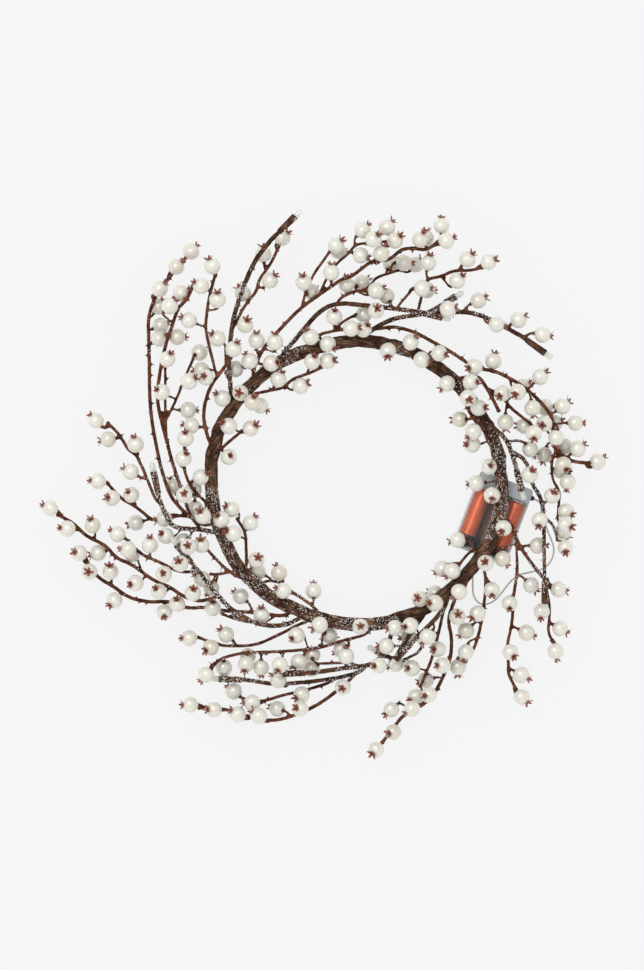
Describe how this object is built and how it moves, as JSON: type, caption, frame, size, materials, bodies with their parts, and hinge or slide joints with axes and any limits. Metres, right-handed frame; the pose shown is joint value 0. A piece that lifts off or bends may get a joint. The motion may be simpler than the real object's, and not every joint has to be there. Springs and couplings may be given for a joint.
{
  "type": "candle ring",
  "caption": "Flat twig wreath that stands round a candle: a bent hoop with forked berry stems, small lamps on the branch ends, and a clear battery box with a sliding cover below.",
  "frame": {"origin": "middle of the hoop, on the table that the ring lies on", "axes": "+Z up along the hoop's axis; +X to the right and +Y up in the straight view from above"},
  "size_m": [0.4854, 0.4671, 0.0685],
  "materials": {
    "bark": "dark brown moulded bark with frosted patches",
    "stem": "reddish brown wrapped stem",
    "berry": "creamy white foam berry with a thin satin coat",
    "crown": "brown dried crown",
    "core_wire": "bare drawn steel",
    "lamp_lens": "clear cast epoxy",
    "contact_metal": "tinned steel",
    "clear_plastic": "clear moulded polystyrene",
    "board": "green circuit board",
    "black_plastic": "black moulded plastic",
    "cell_jacket": "plain printed jacket, two-coloured",
    "lead_plastic": "thin, nearly clear insulation"
  },
  "bodies": {
    "root": {"berries_east": "berry", "berries_north_east": "berry", "berries_north_west": "berry", "berries_south_east": "berry", "berries_south_west": "berry", "berries_west": "berry", "box_case": "clear_plastic", "box_wires": "lead_plastic", "calyxes_east": "crown", "calyxes_north_east": "crown", "calyxes_north_west": "crown", "calyxes_south_east": "crown", "calyxes_south_west": "crown", "calyxes_west": "crown", "cells": "cell_jacket", "circuit_board": "board", "contact_plates": "contact_metal", "contact_springs": "contact_metal", "east_lamp_branch": "bark", "east_long_spray": "stem", "east_mid_spray": "stem", "inner_sprays": "stem", "lamp_legs": "contact_metal", "lamp_sleeves": "bark", "lamps": "lamp_lens", "lead_cord": "lead_plastic", "lead_gland": "black_plastic", "north_east_lamp_branch": "bark", "north_east_spray": "stem", "north_inner_spray": "stem", "north_lamp_branch": "bark", "north_long_spray": "stem", "north_mid_sprays": "stem", "north_west_lamp_branch": "bark", "north_west_outer_spray": "stem", "north_west_spray": "stem", "ring": "bark", "ring_core": "core_wire", "ring_stalks": "stem", "south_east_inner_sprays": "stem", "south_east_lamp_branch": "bark", "south_east_long_spray": "stem", "south_east_spray": "stem", "south_far_spray": "stem", "south_inner_lamp_branch": "bark", "south_lamp_branch": "bark", "south_mid_sprays": "stem", "south_west_lamp_branch": "bark", "south_west_low_sprays": "stem", "south_west_sprays": "stem", "switch_body": "black_plastic", "timer_chip": "black_plastic", "west_far_spray": "stem", "west_high_spray": "stem", "west_lamp_branch": "bark", "west_outer_spray": "stem", "west_ring_sprays": "stem", "wiring_lid": "clear_plastic"},
    "cover": {"box_cover": "clear_plastic"},
    "switch": {"switch_knob": "black_plastic"}
  },
  "joints": [
    {"name": "cover_slide", "type": "slide", "parent": "root", "child": "cover", "axis": [-0.36, -0.933, 0], "range_m": [0, 0.0535]},
    {"name": "switch_slide", "type": "slide", "parent": "root", "child": "switch", "axis": [-0.933, 0.36, 0], "range_m": [0, 0.003]}
  ]
}
